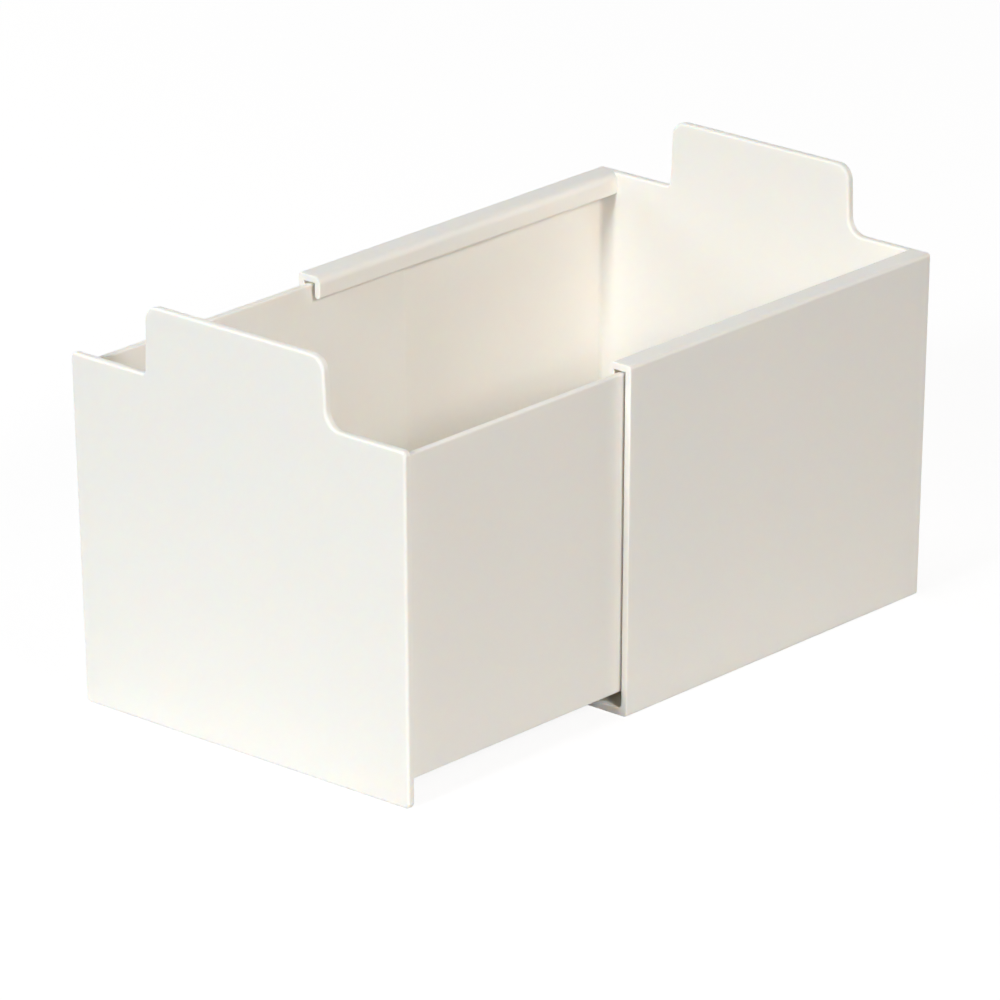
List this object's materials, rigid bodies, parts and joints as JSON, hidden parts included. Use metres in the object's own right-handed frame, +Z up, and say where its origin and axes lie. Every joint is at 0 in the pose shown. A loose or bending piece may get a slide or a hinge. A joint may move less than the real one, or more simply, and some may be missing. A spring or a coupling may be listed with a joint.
{
  "type": "extendable drawer organizer",
  "caption": "Extendable open-top drawer organizer: an open-ended tray slides under the rolled side lips of an outer half, with a raised grip tab at each end.",
  "frame": {"origin": "centre of the box's outline at rest, at the height of the drawer floor it stands on", "axes": "+X along the slide from the tray's front panel towards the outer half's rear panel, +Y across the box, +Z up"},
  "size_m": [0.216, 0.12, 0.1195],
  "materials": {
    "ivory_plastic": "satin moulded surface, warm white"
  },
  "bodies": {
    "outer_half": {"outer_half": "ivory_plastic"},
    "sliding_tray": {"sliding_tray": "ivory_plastic"}
  },
  "joints": [
    {"name": "tray_slide", "type": "slide", "parent": "outer_half", "child": "sliding_tray", "axis": [-1, 0, 0], "range_m": [-0.0835, 0.013]}
  ]
}
